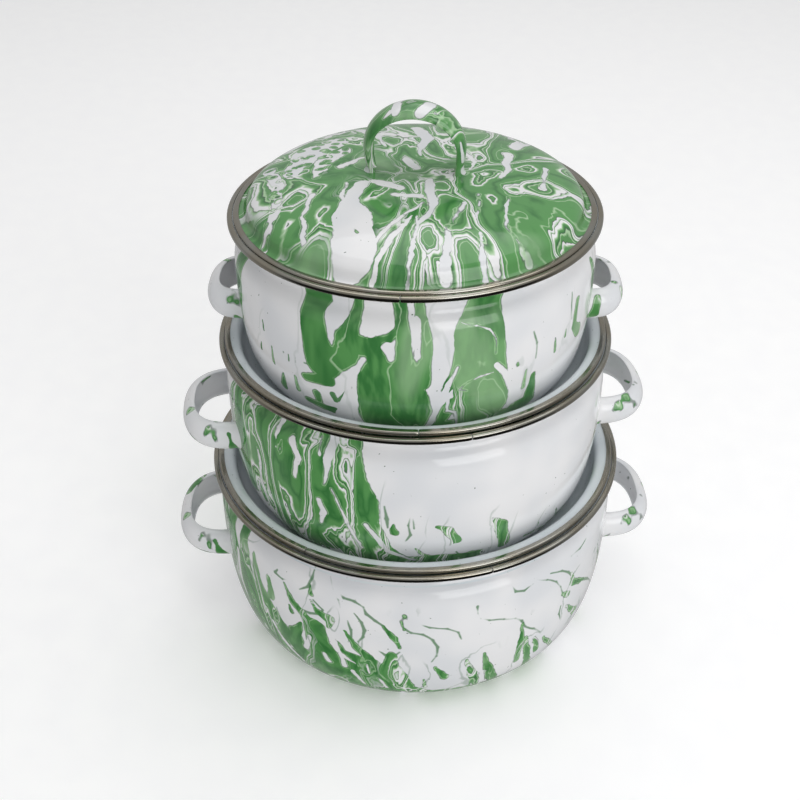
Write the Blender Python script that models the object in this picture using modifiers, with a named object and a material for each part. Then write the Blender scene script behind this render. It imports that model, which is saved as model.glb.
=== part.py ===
"""Three enamelled steel cook pots with lids, stacked: the two larger lids lie upside down in their pots.

Metres, +Z up. The origin is the centre of the stack's base. The handles point along X, the front is -Y.
"""
import math

import bmesh
import bpy

# Driving dimensions of the whole set.
SEGMENTS = 36            # facets round every turned piece, all in the same phase
SHEET = 0.0012           # enamelled steel sheet
STRAP = 0.0013           # pressed strap of the handles
GAP = 0.0003             # clearance between pieces that touch
RING_OVERHANG = 1.1      # rim ring radius over mouth radius
BELLY = 1.077            # widest body radius over mouth radius
BASE = 0.848             # flat base radius over mouth radius
BODY_HEIGHT = 0.5        # pot height over mouth diameter
BODY_FULLNESS = 2.8      # superellipse exponent of the wall and the lower corner
BELLY_DROP = 0.026       # widest point below the rim
WALL_STEPS = 7           # facets from the widest point to the base
LID_FULLNESS = 3.1       # superellipse exponent of the dome
LID_CLEARANCE = 0.001    # dome base inside the mouth, all round
DOME_STEPS = 6           # facets from the dome's centre to its rim
SEAT_GAP = 0.0004        # height left between a pot's base and the lid bowl that carries it

# The pot's flare and neck, under the ring: radius beyond the neck, and drop below the flange.
FLARE = ((0.0030, 0.0036), (0.0006, 0.0070), (0.0002, 0.0095))
FLANGE_FALL = 0.0002     # slope of the flange's underside
SHOULDER_REACH = 0.65    # shoulder point between neck and belly
SHOULDER_DROP = 0.0140

# The lid's flare, between dome and flange: radius beyond the dome's base, and height above the rim plane.
LID_FLARE_OUTSIDE = ((0.0001, 0.0052), (0.0011, 0.0024), (0.0034, SHEET / 2))
LID_FLARE_INSIDE = ((0.0026, -SHEET / 2), (-0.0001, 0.0015), (-0.0011, 0.0046))

# The stainless strip folded round each edge.
POT_RING_TALL = 0.0032
POT_RING_WIDE = 0.0028
LID_RING_TALL = 0.0028
LID_RING_WIDE = 0.0032
RING_BEVEL = 0.0010      # slope of the strip's outer corners
RING_STEP = 0.0004       # play between the pot's ring and the lid's ring
LID_PROUD = 0.0010       # how far the ring of an upright lid stands above the pot's
TURNED_LID_PROUD = 0.0026
STRIP = 0.0012           # thickness of the fold in the strip
EDGE_INSET = 0.0015      # sheet edge inside the strip's outer face
EDGE_PLAY = 0.0004       # start of the flare inside the strip's inner edge

# Pressed handles.
LOOP_TALL = 0.0175
LOOP_DEPTH = 0.006
LOOP_DROP = 0.0495       # loop centre below the pot's rim
LOOP_FULLNESS = 2.5      # superellipse exponent of the loop's plan
ROOT_INSET = 0.004       # loop's widest part inside the widest part of the wall
ROOT_RUN = 0.012         # straight ends that are trimmed to the wall
ARCH_WIDE = 0.0185
ARCH_DEPTH = 0.005
ARCH_TOP = 0.622         # top of the lid handle above the lid's rim, over mouth radius
ARCH_HALF_SPAN = 0.289   # outer half width of the lid handle over mouth radius
ARCH_SPRING = 0.36       # height where the arch begins, over mouth radius
ARCH_NARROW = 0.72       # strap width at the arch's springing, over its width at the top
# Feet below the arch: height over mouth radius, half width over the arch's, strap width over the top's.
ARCH_FEET = ((0.18, 0.91, 0.52), (0.27, 0.97, 0.60))

# The solid that trims a lid handle's feet: the dome, a little larger, and carried down below its rim.
LID_TRIM_SCALE = 1.004
LID_TRIM_DEPTH = 0.004

# Mouth diameter, height of the lid's dome, loop reach from the axis, loop width, turn of the pot's handles,
# turn of the lid's handle.
POTS = {
    "large": dict(mouth=0.220, dome=0.0264, reach=0.1455, wide=0.069, turn=4.0, lid_turn=10.0),
    "medium": dict(mouth=0.200, dome=0.0240, reach=0.1345, wide=0.066, turn=6.5, lid_turn=-4.0),
    "small": dict(mouth=0.180, dome=0.0193, reach=0.1135, wide=0.050, turn=0.0, lid_turn=-5.5),
}

ENAMEL_WHITE = (0.66, 0.69, 0.70, 1.0)
ENAMEL_GREEN = (0.10, 0.27, 0.11, 1.0)
STEEL = (0.42, 0.39, 0.36, 1.0)


def clear_scene():
    for old in list(bpy.data.objects):
        bpy.data.objects.remove(old, do_unlink=True)


def new_collection(name):
    collection = bpy.data.collections.new(name)
    bpy.context.scene.collection.children.link(collection)
    return collection


def give_material(thing, colour, roughness, metallic):
    material = bpy.data.materials.new(thing.name + "_finish")
    material.use_nodes = True
    shader = material.node_tree.nodes["Principled BSDF"]
    shader.inputs["Base Color"].default_value = colour
    shader.inputs["Roughness"].default_value = roughness
    shader.inputs["Metallic"].default_value = metallic
    thing.data.materials.append(material)


def arc_steps(count):
    """Angles from 0 to a quarter turn."""
    return [0.5 * math.pi * step / count for step in range(count + 1)]


def power(value, exponent):
    return max(value, 0.0) ** exponent


def polyline_height(points, radius):
    """Height of a section polyline at a radius; the points run outwards."""
    for (r0, z0), (r1, z1) in zip(points, points[1:]):
        if r0 <= radius <= r1:
            return z0 + (z1 - z0) * (radius - r0) / (r1 - r0)
    return points[-1][1]


# Sections, as (radius, height) points. Each pot's base is at height 0, each lid's rim plane too.

def wall_section(mouth, inset, steps):
    """Wall from the widest point down to the edge of the flat base."""
    radius = mouth / 2
    height = mouth * BODY_HEIGHT
    widest = radius * BELLY - inset
    base = radius * BASE - inset
    fall = height - BELLY_DROP - inset
    curve = 2 / BODY_FULLNESS
    points = []
    for angle in arc_steps(steps):
        across = base + (widest - base) * power(math.cos(angle), curve)
        points.append((across, inset + fall * (1 - power(math.sin(angle), curve))))
    return points


def neck_section(mouth, inset):
    """Flare, neck and shoulder from under the rim ring down to the widest point."""
    radius = mouth / 2
    rim = radius * RING_OVERHANG
    top = mouth * BODY_HEIGHT - POT_RING_TALL / 2 - SHEET / 2 + inset
    belly = radius * BELLY - inset
    neck = radius + SHEET - inset
    fall = 0.0 if inset else FLANGE_FALL
    points = [(rim - EDGE_INSET, top), (rim - POT_RING_WIDE - EDGE_PLAY, top - fall)]
    points += [(neck + beyond, top - drop) for beyond, drop in FLARE]
    points.append((neck + SHOULDER_REACH * (belly - neck), top - SHOULDER_DROP))
    return points


def pot_section(mouth):
    """Closed pot section: from the inner floor's centre up, over the lip, and down the outside."""
    inside = neck_section(mouth, SHEET) + wall_section(mouth, SHEET, WALL_STEPS - 1)
    outside = neck_section(mouth, 0.0) + wall_section(mouth, 0.0, WALL_STEPS)
    return [(0.0, SHEET)] + inside[::-1] + outside + [(0.0, 0.0)]


def dome_section(mouth, dome, inset, steps):
    """One face of a lid's dome, from its centre outwards."""
    base = mouth / 2 - LID_CLEARANCE - inset
    height = dome - inset
    curve = 2 / LID_FULLNESS
    return [(base * power(math.sin(a), curve), height * power(math.cos(a), curve)) for a in arc_steps(steps)]


def lid_section(mouth, dome):
    """Closed lid section: over the dome, round the flange, and back under the dome."""
    base = mouth / 2 - LID_CLEARANCE
    edge = mouth / 2 * RING_OVERHANG - POT_RING_WIDE - RING_STEP - EDGE_INSET
    outside = dome_section(mouth, dome, 0.0, DOME_STEPS)[:-1]
    inside = dome_section(mouth, dome, SHEET, DOME_STEPS)[:-1]
    flare = [(base + beyond, up) for beyond, up in LID_FLARE_OUTSIDE]
    flange = [(edge, SHEET / 2), (edge, -SHEET / 2)]
    under = [(base + beyond, up) for beyond, up in LID_FLARE_INSIDE]
    return outside + flare + flange + under + inside[::-1]


def ring_section(outer, wide, tall):
    """Strip folded into a channel that opens inwards and grips a sheet edge at height 0."""
    inner = outer - wide
    half = tall / 2
    slot = SHEET / 2 + GAP
    floor = outer - STRIP
    return [
        (inner, half),
        (outer - RING_BEVEL, half),
        (outer, half - RING_BEVEL),
        (outer, RING_BEVEL - half),
        (outer - RING_BEVEL, -half),
        (inner, -half),
        (inner, -slot),
        (floor, -slot),
        (floor, slot),
        (inner, slot),
    ]


def turned(name, section, collection, closed=False):
    """Solid of revolution about Z from a section, by a Screw modifier."""
    mesh = bpy.data.meshes.new(name)
    bm = bmesh.new()
    verts = [bm.verts.new((radius, 0.0, height)) for radius, height in section]
    for first, second in zip(verts, verts[1:]):
        bm.edges.new((first, second))
    if closed:
        bm.edges.new((verts[-1], verts[0]))
    bm.to_mesh(mesh)
    bm.free()
    piece = bpy.data.objects.new(name, mesh)
    collection.objects.link(piece)
    screw = piece.modifiers.new("Turn", "SCREW")
    screw.axis = "Z"
    screw.steps = SEGMENTS
    screw.render_steps = SEGMENTS
    screw.use_merge_vertices = True
    screw.merge_threshold = 0.00005
    screw.use_smooth_shade = True
    return piece


def polyline_curve(name, points, collection):
    """Open polyline as a curve object; a point may carry a third value, its scale."""
    data = bpy.data.curves.new(name, "CURVE")
    data.dimensions = "3D"
    data.twist_mode = "Z_UP"
    spline = data.splines.new("POLY")
    spline.points.add(len(points) - 1)
    for target, point in zip(spline.points, points):
        target.co = (point[0], point[1], 0.0, 1.0)
        target.radius = point[2] if len(point) > 2 else 1.0
    curve = bpy.data.objects.new(name, data)
    collection.objects.link(curve)
    return curve


def channel(name, path, wide, depth, collection):
    """Strap with a C section, its hollow side inwards, along a path that is its outer face."""
    arc = [math.pi * (step / 6 - 0.5) for step in range(7)]
    section = [(depth * (1 - math.cos(angle)), wide / 2 * math.sin(angle)) for angle in arc]
    rail = polyline_curve(name + "_rail", path, collection)
    profile = polyline_curve(name + "_profile", section, collection)
    rail.data.bevel_mode = "OBJECT"
    rail.data.bevel_object = profile
    bpy.context.view_layer.update()
    swept = rail.evaluated_get(bpy.context.evaluated_depsgraph_get())
    mesh = bpy.data.meshes.new_from_object(swept)
    bpy.data.objects.remove(rail, do_unlink=True)
    bpy.data.objects.remove(profile, do_unlink=True)
    mesh.name = name
    mesh.shade_smooth()
    piece = bpy.data.objects.new(name, mesh)
    collection.objects.link(piece)
    wall = piece.modifiers.new("Sheet", "SOLIDIFY")
    wall.thickness = STRAP
    wall.offset = -1.0
    return piece


def loop_path(reach, wide, root):
    """Plan of a pot handle, from one side of the loop round the tip to the other; root is inside the wall."""
    curve = 2 / LOOP_FULLNESS
    bend = [math.pi * step / 12 for step in range(13)]
    path = []
    for angle in bend:
        side = math.cos(angle)
        across = math.copysign(power(abs(side), curve), side) * wide / 2
        path.append((root + (reach - root) * power(math.sin(angle), curve), across))
    start = (root - ROOT_RUN, wide / 2)
    end = (root - ROOT_RUN, -wide / 2)
    return [start] + path + [end]


def arch_path(mouth):
    """Side view of a lid handle, as (height, across, scale): the feet are narrower and closer together."""
    radius = mouth / 2
    half_span = radius * ARCH_HALF_SPAN
    top = radius * ARCH_TOP
    spring = radius * ARCH_SPRING
    foot = [(radius * up, half_span * out, scale) for up, out, scale in ARCH_FEET]
    path = list(foot)
    for step in range(9):
        angle = math.pi * step / 8
        scale = ARCH_NARROW + (1.0 - ARCH_NARROW) * math.sin(angle)
        path.append((spring + (top - spring) * math.sin(angle), half_span * math.cos(angle), scale))
    return path + [(up, -out, scale) for up, out, scale in reversed(foot)]


def trim(piece, cutter):
    """Cut a handle's ends to the sheet that they are welded to."""
    cutter.hide_render = True
    cutter.display_type = "WIRE"
    cut = piece.modifiers.new("Fit", "BOOLEAN")
    cut.operation = "DIFFERENCE"
    cut.solver = "EXACT"
    cut.object = cutter


def add_empty(name, height, collection):
    empty = bpy.data.objects.new(name, None)
    empty.location = (0.0, 0.0, height)
    collection.objects.link(empty)
    return empty


def build_pot(size, dims, height, parts, cutters):
    """Body, rim ring and two loop handles of one pot, standing at a height."""
    mouth = dims["mouth"]
    rim = mouth / 2 * RING_OVERHANG
    hub = add_empty(size + "_pot", height, parts)

    body = turned(size + "_pot_body", pot_section(mouth), parts)
    give_material(body, ENAMEL_WHITE, 0.12, 0.0)
    body.parent = hub

    ring = turned(size + "_pot_rim_ring", ring_section(rim, POT_RING_WIDE, POT_RING_TALL), parts, closed=True)
    give_material(ring, STEEL, 0.25, 1.0)
    ring.parent = hub
    ring.location.z = mouth * BODY_HEIGHT - POT_RING_TALL / 2

    outside = neck_section(mouth, 0.0) + wall_section(mouth, 0.0, WALL_STEPS)
    grown = [(radius + GAP, z) for radius, z in outside]
    top = grown[0][1]
    cutter = turned(size + "_pot_cutter", [(0.0, top)] + grown + [(0.0, 0.0)], cutters)
    cutter.parent = hub

    root = mouth / 2 * BELLY - ROOT_INSET
    for side, turn in (("right", 0.0), ("left", math.pi)):
        path = loop_path(dims["reach"], dims["wide"], root)
        handle = channel(f"{size}_pot_{side}_handle", path, LOOP_TALL, LOOP_DEPTH, parts)
        handle.parent = hub
        handle.location.z = mouth * BODY_HEIGHT - LOOP_DROP
        handle.rotation_euler.z = turn + math.radians(dims["turn"])
        give_material(handle, ENAMEL_WHITE, 0.12, 0.0)
        trim(handle, cutter)


def build_lid(size, dims, height, upside_down, parts, cutters):
    """Shell, rim ring and arched handle of one lid, with its rim plane at a height."""
    mouth = dims["mouth"]
    rim = mouth / 2 * RING_OVERHANG - POT_RING_WIDE - RING_STEP
    hub = add_empty(size + "_lid", height, parts)
    if upside_down:
        hub.rotation_euler.x = math.pi

    shell = turned(size + "_lid_shell", lid_section(mouth, dims["dome"]), parts)
    give_material(shell, ENAMEL_GREEN, 0.12, 0.0)
    shell.parent = hub

    ring = turned(size + "_lid_rim_ring", ring_section(rim, LID_RING_WIDE, LID_RING_TALL), parts, closed=True)
    give_material(ring, STEEL, 0.25, 1.0)
    ring.parent = hub

    dome = dome_section(mouth, dims["dome"], 0.0, DOME_STEPS)
    grown = [(radius * LID_TRIM_SCALE, z + GAP) for radius, z in dome]
    floor = [(grown[-1][0], -LID_TRIM_DEPTH), (0.0, -LID_TRIM_DEPTH)]
    cutter = turned(size + "_lid_cutter", grown + floor, cutters)
    cutter.parent = hub

    handle = channel(size + "_lid_handle", arch_path(mouth), ARCH_WIDE, ARCH_DEPTH, parts)
    handle.parent = hub
    handle.rotation_euler = (0.0, -0.5 * math.pi, math.radians(90.0 + dims["lid_turn"]))
    give_material(handle, ENAMEL_GREEN, 0.12, 0.0)
    trim(handle, cutter)


def rim_plane(mouth, base, upside_down):
    """Height of the lid's rim plane on a pot that stands at base."""
    proud = TURNED_LID_PROUD if upside_down else LID_PROUD
    return base + mouth * BODY_HEIGHT + proud - LID_RING_TALL / 2


def rest_height(lower, upper, plane):
    """Base height of a pot that sits in the bowl of the upside-down lid below it."""
    inside = dome_section(lower["mouth"], lower["dome"], SHEET, DOME_STEPS)
    bowl = [(radius, -depth) for radius, depth in inside]
    wall = wall_section(upper["mouth"], 0.0, WALL_STEPS)
    lift = max(polyline_height(bowl, radius) - z for radius, z in wall if radius < bowl[-1][0])
    return plane + lift + SEAT_GAP


def main():
    clear_scene()
    parts = new_collection("enamel_pot_stack")
    cutters = new_collection("cutters")
    base = 0.0
    below = None
    for size, dims in POTS.items():
        if below:
            base = rest_height(below, dims, plane)
        upside_down = size != "small"
        plane = rim_plane(dims["mouth"], base, upside_down)
        build_pot(size, dims, base, parts, cutters)
        build_lid(size, dims, plane, upside_down, parts, cutters)
        below = dims
    bpy.context.view_layer.update()


main()
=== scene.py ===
import math

import bmesh
import bpy
from mathutils import Euler, Matrix, Vector


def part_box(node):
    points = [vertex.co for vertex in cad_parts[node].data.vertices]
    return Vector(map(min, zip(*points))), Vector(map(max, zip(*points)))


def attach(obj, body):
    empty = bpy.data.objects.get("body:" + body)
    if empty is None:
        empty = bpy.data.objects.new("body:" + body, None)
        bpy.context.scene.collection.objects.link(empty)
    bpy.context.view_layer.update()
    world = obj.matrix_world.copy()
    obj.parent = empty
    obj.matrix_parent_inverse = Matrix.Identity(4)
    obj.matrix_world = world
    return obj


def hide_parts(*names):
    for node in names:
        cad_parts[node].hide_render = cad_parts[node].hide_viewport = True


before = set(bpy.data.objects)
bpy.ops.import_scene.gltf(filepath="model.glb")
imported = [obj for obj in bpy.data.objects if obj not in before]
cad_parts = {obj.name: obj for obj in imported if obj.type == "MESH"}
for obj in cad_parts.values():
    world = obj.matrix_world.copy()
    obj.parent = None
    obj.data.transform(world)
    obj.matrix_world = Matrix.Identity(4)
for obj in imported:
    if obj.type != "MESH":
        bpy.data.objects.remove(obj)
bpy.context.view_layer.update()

# Proportions of the set, as in the CAD. Every position and mouth size is read from the frame's boxes.
RING_OVERHANG = 1.1      # rim ring radius over mouth radius
BELLY = 1.077            # widest body radius over mouth radius
BASE = 0.848             # flat base radius over mouth radius
BODY_FULLNESS = 2.8      # superellipse exponent of the wall and the lower corner
BELLY_DROP = 0.026       # widest point below the rim
LID_FULLNESS = 3.1       # superellipse exponent of the dome
LID_CLEARANCE = 0.001    # dome's foot inside the mouth
SHEET = 0.0012
POT_RING_WIDE = 0.0028
LID_RING_WIDE = 0.0032
EDGE_INSET = 0.0015      # sheet edge inside its ring's outer face
RING_PLAY = 0.0004       # flange's bend inside the ring
STRIP = 0.0011
SEAM_GAP = 0.00022       # half the gap of a rim strip's butt joint
SEAM_EASE = 0.0022       # length over which the strip draws in towards the joint
SEAM_TUCK = 0.10
WALL_WAVE = 0.00022      # unevenness of the drawn wall

# Pot handles: a C section along a superellipse loop.
STRAP = 0.0013
LOOP_TALL = 0.0175
LOOP_DEPTH = 0.006
LOOP_FULLNESS = 2.5
LOOP_STEPS = 40
FOOT_SINK = 0.0004       # foot's depth in the wall
FOOT_SPREAD = 0.0032     # how much thicker a foot gets where it meets the wall
FOOT_FADE = 0.0011       # height over which that thickening fades

# Lid handle, in mouth radii above and across the lid; the feet also have a width scale.
ARCH_WIDE = 0.0185
ARCH_DEPTH = 0.005
ARCH_TOP = 0.622
ARCH_HALF_SPAN = 0.289
ARCH_SPRING = 0.36
ARCH_NARROW = 0.70
ARCH_FEET = ((0.255, 0.955, 0.58), (0.29, 0.98, 0.63))

# Reach and width of each pot's handles, and turns in degrees.
HANDLE_SIZE = {"large": (0.1455, 0.069), "medium": (0.1345, 0.066), "small": (0.1135, 0.050)}
HANDLE_TURN = {"large": 4.0, "medium": 6.5, "small": 0.0}
LID_TURN = {"large": 10.0, "medium": -4.0, "small": -5.5}
# Where the rim strips' joints lie, on the pot and on its lid, in degrees.
RING_SEAMS = {"large": (-70.0, -120.0), "medium": (-75.0, -89.0), "small": (-94.0, 60.0)}
STEPS = 180              # facets round every turned piece

# Studio.
FLOOR_RADIUS = 3.0
FLOOR_GLOW = 0.17        # keeps the floor a clean pale white
WORLD_STRENGTH = 0.50
WORLD_STOPS = [(0.36, 0.03), (0.44, 0.60), (0.80, 1.00)]     # 0 straight down, 0.5 level, 1 straight up
LAMP_TARGET = (0.0, 0.0, 0.15)
# Lamps: name, place, width, height, watts.
LAMPS = [
    ("overhead", (0.2, 0.2, 1.7), 2.0, 1.6, 12.0),
    ("front_right", (0.9, -1.5, 0.75), 1.2, 1.2, 11.5),
]
CAMERA_PLACE = (0.0, -0.56196, 0.53562)
CAMERA_TURN = (54.796, 0.4228, 0.5959)
CAMERA_LENS = 52.2585
CAMERA_SENSOR = 36.0

# Enamel. Fields of green are in millimetres: how far inside the green a point lies.
MM = 0.001
RUN_BLEND = 1.2          # how softly two runs of green flow together
CUT_BLEND = 0.8
NEAR = 12.0              # a field that is green all over
FAR = -20.0              # a field with no green in it
HAIR_WARP = 0.5          # hairlines wander less than the runs do
LACE_CELLS = 0.17        # green drops to the millimetre in the lid's lace
HANDLE_BUSY = 0.25
ARCH_COVER = 9.0         # the lid handles are green all over, less their white runs
LID_CYCLES = 4.2
# How each pot's enamel ran: coarse and fine wander in millimetres, then as glaze() takes them.
POT_POUR = {
    "small": dict(coarse=4.0, fine=1.6, busy=-0.3, flow=(1, 1, 0.35), cycles=3.0, lean=0.03, threads=0.2),
    "medium": dict(coarse=6.0, fine=2.2, busy=1.0, flow=(1.5, 1.5, 0.35), cycles=2.8, lean=0.05, threads=0.4),
    "large": dict(coarse=5.0, fine=2.2, busy=0.4, flow=(1.4, 1.4, 0.6), cycles=2.8, lean=0.03, threads=0.6),
}

# Runs of green on the pot handles, from each handle's centre, in millimetres: ends and their radii.
# A leading 0 marks a cut, here and in every table below.
HANDLE_RUNS = {
    ("small", "left"): [
        ((-11, -12, -1), (-9, -15, -8), 1.6, 2.8), ((-9, -2, -8), (-9, 2, -9), 1.6, 1.6),
        ((5, -22, 2), (8, -24, -9), 1, 2.6), ((2, 24, 8), (8, 24, 6), 1.6, 1)],
    ("small", "right"): [
        ((9, -13, 4), (9, -11, -4), 2.2, 2.6), (0, (9.5, -12, 2), (9.5, -11.5, 0), 1, 1),
        ((9, 8, 6), (9, 12, 2), 1, 2), ((-6, -24, 6), (-8, -24, -4), 2, 3)],
    ("medium", "left"): [
        ((-11, -22, -5), (-4, -30, -9), 1.6, 1.6), ((4, -32, -8), (10, -33, -9), 1.4, 2.2),
        ((-2, 28, 8), (6, 31, 8), 1.2, 1.8), ((-14, -12, -8), (-14, -8, -9), 0.8, 1),
        ((12, -32, 4), (14, -32, -9), 1.6, 3)],
    ("medium", "right"): [
        ((14, 10, -6), (12, 16, -9), 0.8, 1.6), ((12, -14, 8), (13, -12, 6), 0.7, 0.9)],
    ("large", "left"): [
        ((-14, -20, -7), (2, -33, -9), 3, 4), ((-15, 8, 8), (-8, 24, 8), 2.4, 3),
        ((-2, 30, 6), (4, 32, -2), 1.6, 2.2), ((-15, -6, 2), (-14, -10, -4), 1.4, 1),
        ((8, -33, 4), (12, -34, -9), 2, 4)],
    ("large", "right"): [
        ((13, -16, 2), (11, -22, -9), 1.4, 3), ((15, -6, -4), (15, -8, -9), 1, 1.8),
        ((12, 16, 4), (10, 20, -3), 1.2, 1.8)],
}
# White runs on the green lid handles.
ARCH_RUNS = [
    (0, (-11, -9, 16), (-6, 9, 19), 2.6, 3), (0, (-13, -5, 16), (-16, -6, 12), 2.2, 0.6),
    (0, (2, -9, 16), (8, -2, 18), 2.8, 3.2), (0, (10, -7, 15), (16, -8, 10), 0.8, 0.5),
    (0, (-23, -6, 6), (-26, -5, -12), 0.8, 1.2), (0, (-21, 4, -2), (-23, 2, -14), 1.8, 2.4),
    (0, (23, -8, 0), (25, -6, -10), 0.7, 1.4), (0, (25, -4, -16), (25, 0, -19), 2.6, 3),
    (0, (-26, -4, -16), (-26, 0, -19), 2.6, 3), ((-6, 1, 19), (-5, 2, 19), 1.1, 1.1),
]


# ---- measures from the frame

class Pot:
    """Sizes and places of one pot and its lid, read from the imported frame."""

    def __init__(self, size):
        self.size = size
        ring_low, ring_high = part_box(size + "_pot_rim_ring")
        lid_low, lid_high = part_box(size + "_lid_rim_ring")
        shell_low, shell_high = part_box(size + "_lid_shell")
        self.rim = (ring_high[0] - ring_low[0]) / 2
        self.radius = self.rim / RING_OVERHANG
        self.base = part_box(size + "_pot_body")[0][2]
        self.top = ring_high[2]
        self.ring_tall = ring_high[2] - ring_low[2]
        self.lid_ring_tall = lid_high[2] - lid_low[2]
        self.plane = (lid_low[2] + lid_high[2]) / 2
        self.lid_rim = (lid_high[0] - lid_low[0]) / 2
        self.upright = shell_high[2] - self.plane > self.plane - shell_low[2]
        self.dome = max(shell_high[2] - self.plane, self.plane - shell_low[2])


POTS = {size: Pot(size) for size in ("large", "medium", "small")}


# ---- sections

def power(value, exponent):
    return max(value, 0.0) ** exponent


def quarter(steps):
    return [0.5 * math.pi * step / steps for step in range(steps + 1)]


def bezier(start, pull_start, pull_end, end, steps):
    """Points of a cubic curve, without its first point."""
    points = []
    for step in range(1, steps + 1):
        t = step / steps
        weights = ((1 - t) ** 3, 3 * t * (1 - t) ** 2, 3 * t * t * (1 - t), t ** 3)
        corners = (start, pull_start, pull_end, end)
        points.append(tuple(sum(w * c[axis] for w, c in zip(weights, corners)) for axis in (0, 1)))
    return points


def soften(points, radii, steps=4, closed=False):
    """Round each corner of a polyline; radii is one number or one for each corner."""
    count = len(points)
    out = []
    for index, point in enumerate(points):
        radius = radii[index] if isinstance(radii, (list, tuple)) else radii
        if (not closed and index in (0, count - 1)) or radius <= 0:
            out.append(point)
            continue
        here = Vector(point)
        before = Vector(points[index - 1]) - here
        after = Vector(points[(index + 1) % count]) - here
        start = here + before.normalized() * min(radius, before.length * 0.49)
        end = here + after.normalized() * min(radius, after.length * 0.49)
        out.append(tuple(start))
        out += bezier(start, start.lerp(here, 0.6), end.lerp(here, 0.6), end, steps)
    return out


def wall_section(pot, inset, steps):
    """Wall from the widest point down to the edge of the flat base, heights above the base."""
    widest = pot.radius * BELLY - inset
    base = pot.radius * BASE - inset
    fall = pot.top - pot.base - BELLY_DROP - inset
    curve = 2 / BODY_FULLNESS
    points = []
    for angle in quarter(steps):
        across = base + (widest - base) * power(math.cos(angle), curve)
        points.append((across, inset + fall * (1 - power(math.sin(angle), curve))))
    return points


def neck_section(pot, inset):
    """Flare under the rim ring, neck and soft shoulder, down to the widest point."""
    flange = pot.top - pot.base - pot.ring_tall / 2 - SHEET / 2 + inset
    belly = pot.radius * BELLY - inset
    neck = pot.radius + SHEET - inset
    lip = (pot.rim - EDGE_INSET, flange)
    bend = (pot.rim - POT_RING_WIDE - RING_PLAY, flange)
    waist = (neck, flange - 0.0088)
    widest = (belly, pot.top - pot.base - BELLY_DROP)
    flare = bezier(bend, (bend[0] - 0.0026, flange - 0.0012), (neck + 0.0002, flange - 0.0050), waist, 8)
    shoulder = bezier(waist, (neck + 0.0003, flange - 0.0125), (belly, flange - 0.0125), widest, 12)
    return [lip, bend] + flare + shoulder[:-1]


def body_section(pot):
    """Inner floor to lip to outer base; returns the points and how many of them are inside."""
    inside = [(0.0, SHEET)] + wall_section(pot, SHEET, 44)[::-1] + neck_section(pot, SHEET)[::-1]
    foot = pot.radius * BASE
    under = [(foot - 0.004, 0.0), (foot - 0.0065, 0.0007), (foot * 0.55, 0.0011), (0.0, 0.0012)]
    outside = neck_section(pot, 0.0) + wall_section(pot, 0.0, 48)
    points = inside + outside + soften([outside[-1]] + under, 0.002)[1:]
    return points, len(inside)


def dome_section(pot, inset, steps):
    """One face of the lid's dome from its centre outwards, heights above the rim plane."""
    base = pot.radius - LID_CLEARANCE - inset
    curve = 2 / LID_FULLNESS
    return [(base * power(math.sin(a), curve), (pot.dome - inset) * power(math.cos(a), curve))
            for a in quarter(steps)]


def lid_section(pot):
    """Over the dome, round the flange and back under; the outer points come first."""
    edge = pot.lid_rim - EDGE_INSET
    base = pot.radius - LID_CLEARANCE
    outer = [p for p in dome_section(pot, 0.0, 60) if p[1] > 0.0058]
    inner = [p for p in dome_section(pot, SHEET, 60) if p[1] > 0.0052]
    flare = (base + 0.0036, SHEET / 2)
    over = outer + bezier(outer[-1], (base + 0.0001, 0.0022), (base + 0.0010, SHEET / 2), flare, 10)
    over += [(edge, SHEET / 2)]
    under = [(edge, -SHEET / 2), (base + 0.0028, -SHEET / 2)]
    under += bezier(under[-1], (base - 0.0002, -SHEET / 2), (base - SHEET, 0.0014), inner[-1], 10)
    return over + under + inner[-2::-1], len(over)


def bead_section(outer, wide, tall):
    """Rolled strip round a sheet edge at height 0, open inwards."""
    inner = outer - wide
    half = tall / 2
    slot = SHEET / 2 + 0.0002
    corners = [(inner, half - 0.0001), (outer, half), (outer, -half), (inner, -half + 0.0001),
               (inner, -slot), (outer - STRIP, -slot), (outer - STRIP, slot), (inner, slot)]
    radii = [0.0003, 0.0013, 0.0012, 0.0003, 0.0001, 0.0003, 0.0003, 0.0001]
    return soften(corners, radii, steps=7, closed=True)


def radius_at(section, height):
    """Largest radius of an outer section at a height."""
    best = section[0][0]
    for (r0, z0), (r1, z1) in zip(section, section[1:]):
        if min(z0, z1) <= height <= max(z0, z1) and abs(z1 - z0) > 1e-9:
            best = r0 + (r1 - r0) * (height - z0) / (z1 - z0)
    return best


def height_at(section, radius):
    """Height of a dome section at a radius."""
    for (r0, z0), (r1, z1) in zip(section, section[1:]):
        if r0 <= radius <= r1 and r1 > r0:
            return z0 + (z1 - z0) * (radius - r0) / (r1 - r0)
    return section[-1][1]


# ---- meshes

def finish_mesh(name, bm, sharp=35.0):
    bmesh.ops.recalc_face_normals(bm, faces=bm.faces)
    mesh = bpy.data.meshes.new(name)
    bm.to_mesh(mesh)
    bm.free()
    mesh.shade_smooth()
    mesh.set_sharp_from_angle(angle=math.radians(sharp))
    piece = bpy.data.objects.new(name, mesh)
    bpy.context.scene.collection.objects.link(piece)
    return piece


def hand_made(radius, angle, height, amount):
    """Slow waves of a few tenths of a millimetre, as drawn and fired sheet has."""
    wave = math.sin(2 * angle + 0.7) + 0.6 * math.sin(3 * angle - 1.1 + 25 * height)
    return radius + amount * (wave + 0.4 * math.sin(7 * angle + 60 * height))


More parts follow.
